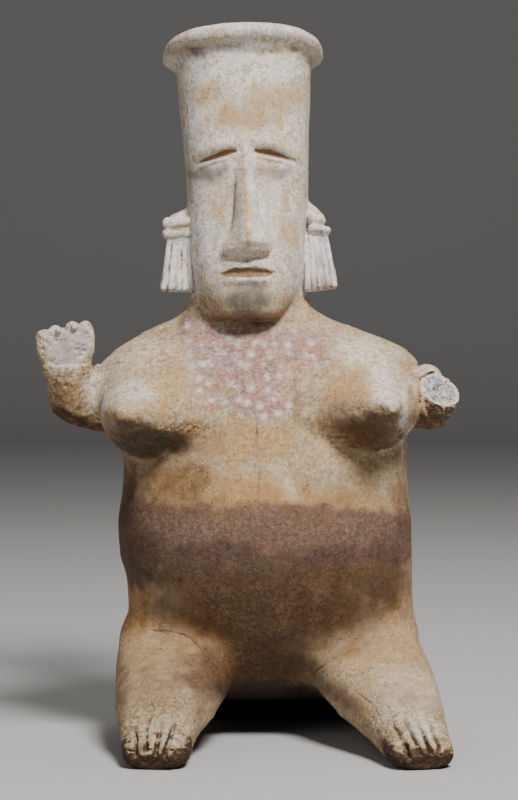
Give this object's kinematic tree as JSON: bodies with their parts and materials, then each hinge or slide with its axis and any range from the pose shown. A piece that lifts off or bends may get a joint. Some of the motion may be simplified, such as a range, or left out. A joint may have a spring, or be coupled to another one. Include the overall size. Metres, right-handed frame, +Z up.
{
  "type": "seated clay figure",
  "caption": "Hollow fired-clay seated figure with an open flared head, ear ornaments, one raised arm, one arm broken short and stubby legs.",
  "frame": {"origin": "on the floor, under the middle of the figure's bounding box", "axes": "+Z up, the figure looks along -Y, its own left arm (the broken one) is towards +X"},
  "size_m": [0.2482, 0.2234, 0.4199],
  "materials": {
    "fired_clay": "matte"
  },
  "bodies": {
    "root": {"clay_figure": "fired_clay"}
  },
  "joints": []
}
